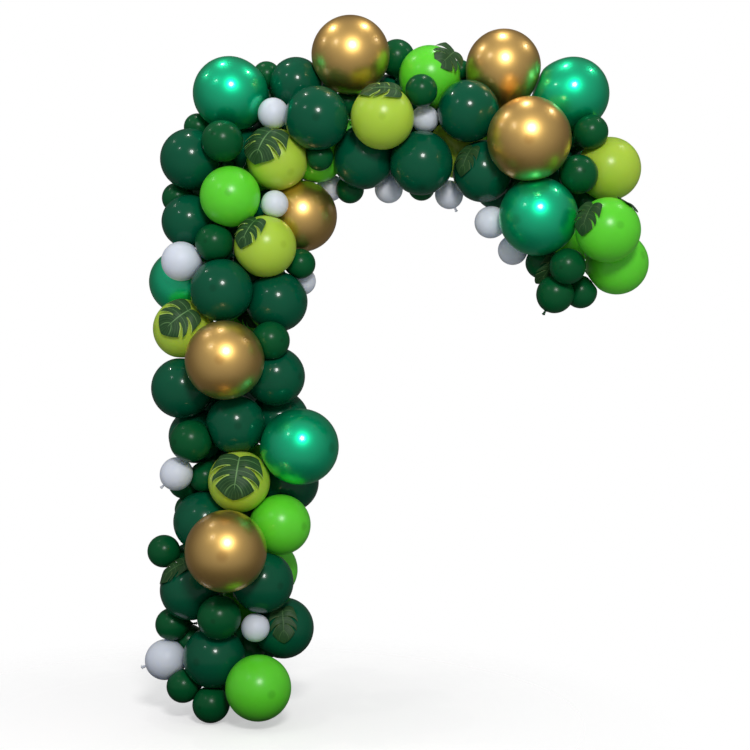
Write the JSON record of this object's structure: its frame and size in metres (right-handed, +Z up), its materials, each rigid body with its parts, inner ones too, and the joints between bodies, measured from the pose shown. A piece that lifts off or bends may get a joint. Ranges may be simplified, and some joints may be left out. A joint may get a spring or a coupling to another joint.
{
  "type": "balloon garland",
  "caption": "Half-arch balloon garland: large and small latex balloons in gold, greens and white, tied on a clear strip with monstera leaves, hung from its top run.",
  "frame": {"origin": "hanging point: middle of the upper face of the strip's level run", "axes": "+Z up, +X along the level run from the tall column towards the short drop, -Y out of the garland's face"},
  "size_m": [1.743, 0.7509, 2.4183],
  "materials": {
    "clear_plastic": "clear flexible strip, punched",
    "gold_latex": "mirror-like chrome gold latex",
    "emerald_latex": "metallic pearl green latex",
    "forest_latex": "glossy dark green latex",
    "grass_latex": "glossy bright green latex, slightly see-through",
    "lime_latex": "glossy yellow-green latex, slightly see-through",
    "pine_latex": "glossy deep green latex of the small balloons",
    "white_latex": "satin white latex",
    "leaf_fabric": "printed artificial leaf with paler veins"
  },
  "bodies": {
    "root": {"decorating_strip": "clear_plastic", "grass_balloon_1": "grass_latex", "forest_balloon_1": "forest_latex", "forest_balloon_2": "forest_latex", "grass_balloon_2": "grass_latex", "forest_balloon_3": "forest_latex", "forest_balloon_4": "forest_latex", "grass_balloon_3": "grass_latex", "forest_balloon_5": "forest_latex", "gold_balloon_1": "gold_latex", "grass_balloon_4": "grass_latex", "forest_balloon_6": "forest_latex", "forest_balloon_7": "forest_latex", "lime_balloon_1": "lime_latex", "grass_balloon_5": "grass_latex", "emerald_balloon_1": "emerald_latex", "forest_balloon_8": "forest_latex", "forest_balloon_9": "forest_latex", "forest_balloon_10": "forest_latex", "forest_balloon_11": "forest_latex", "forest_balloon_12": "forest_latex", "forest_balloon_13": "forest_latex", "gold_balloon_2": "gold_latex", "lime_balloon_2": "lime_latex", "grass_balloon_6": "grass_latex", "forest_balloon_14": "forest_latex", "forest_balloon_15": "forest_latex", "emerald_balloon_2": "emerald_latex", "forest_balloon_16": "forest_latex", "lime_balloon_3": "lime_latex", "forest_balloon_17": "forest_latex", "gold_balloon_3": "gold_latex", "grass_balloon_7": "grass_latex", "grass_balloon_8": "grass_latex", "forest_balloon_18": "forest_latex", "lime_balloon_4": "lime_latex", "emerald_balloon_3": "emerald_latex", "forest_balloon_19": "forest_latex", "forest_balloon_20": "forest_latex", "forest_balloon_21": "forest_latex", "gold_balloon_4": "gold_latex", "grass_balloon_9": "grass_latex", "forest_balloon_22": "forest_latex", "lime_balloon_5": "lime_latex", "forest_balloon_23": "forest_latex", "forest_balloon_24": "forest_latex", "grass_balloon_10": "grass_latex", "lime_balloon_6": "lime_latex", "forest_balloon_25": "forest_latex", "gold_balloon_5": "gold_latex", "forest_balloon_26": "forest_latex", "grass_balloon_11": "grass_latex", "gold_balloon_6": "gold_latex", "emerald_balloon_4": "emerald_latex", "forest_balloon_27": "forest_latex", "lime_balloon_7": "lime_latex", "emerald_balloon_5": "emerald_latex", "grass_balloon_12": "grass_latex", "grass_balloon_13": "grass_latex", "grass_balloon_14": "grass_latex"}
  },
  "joints": []
}
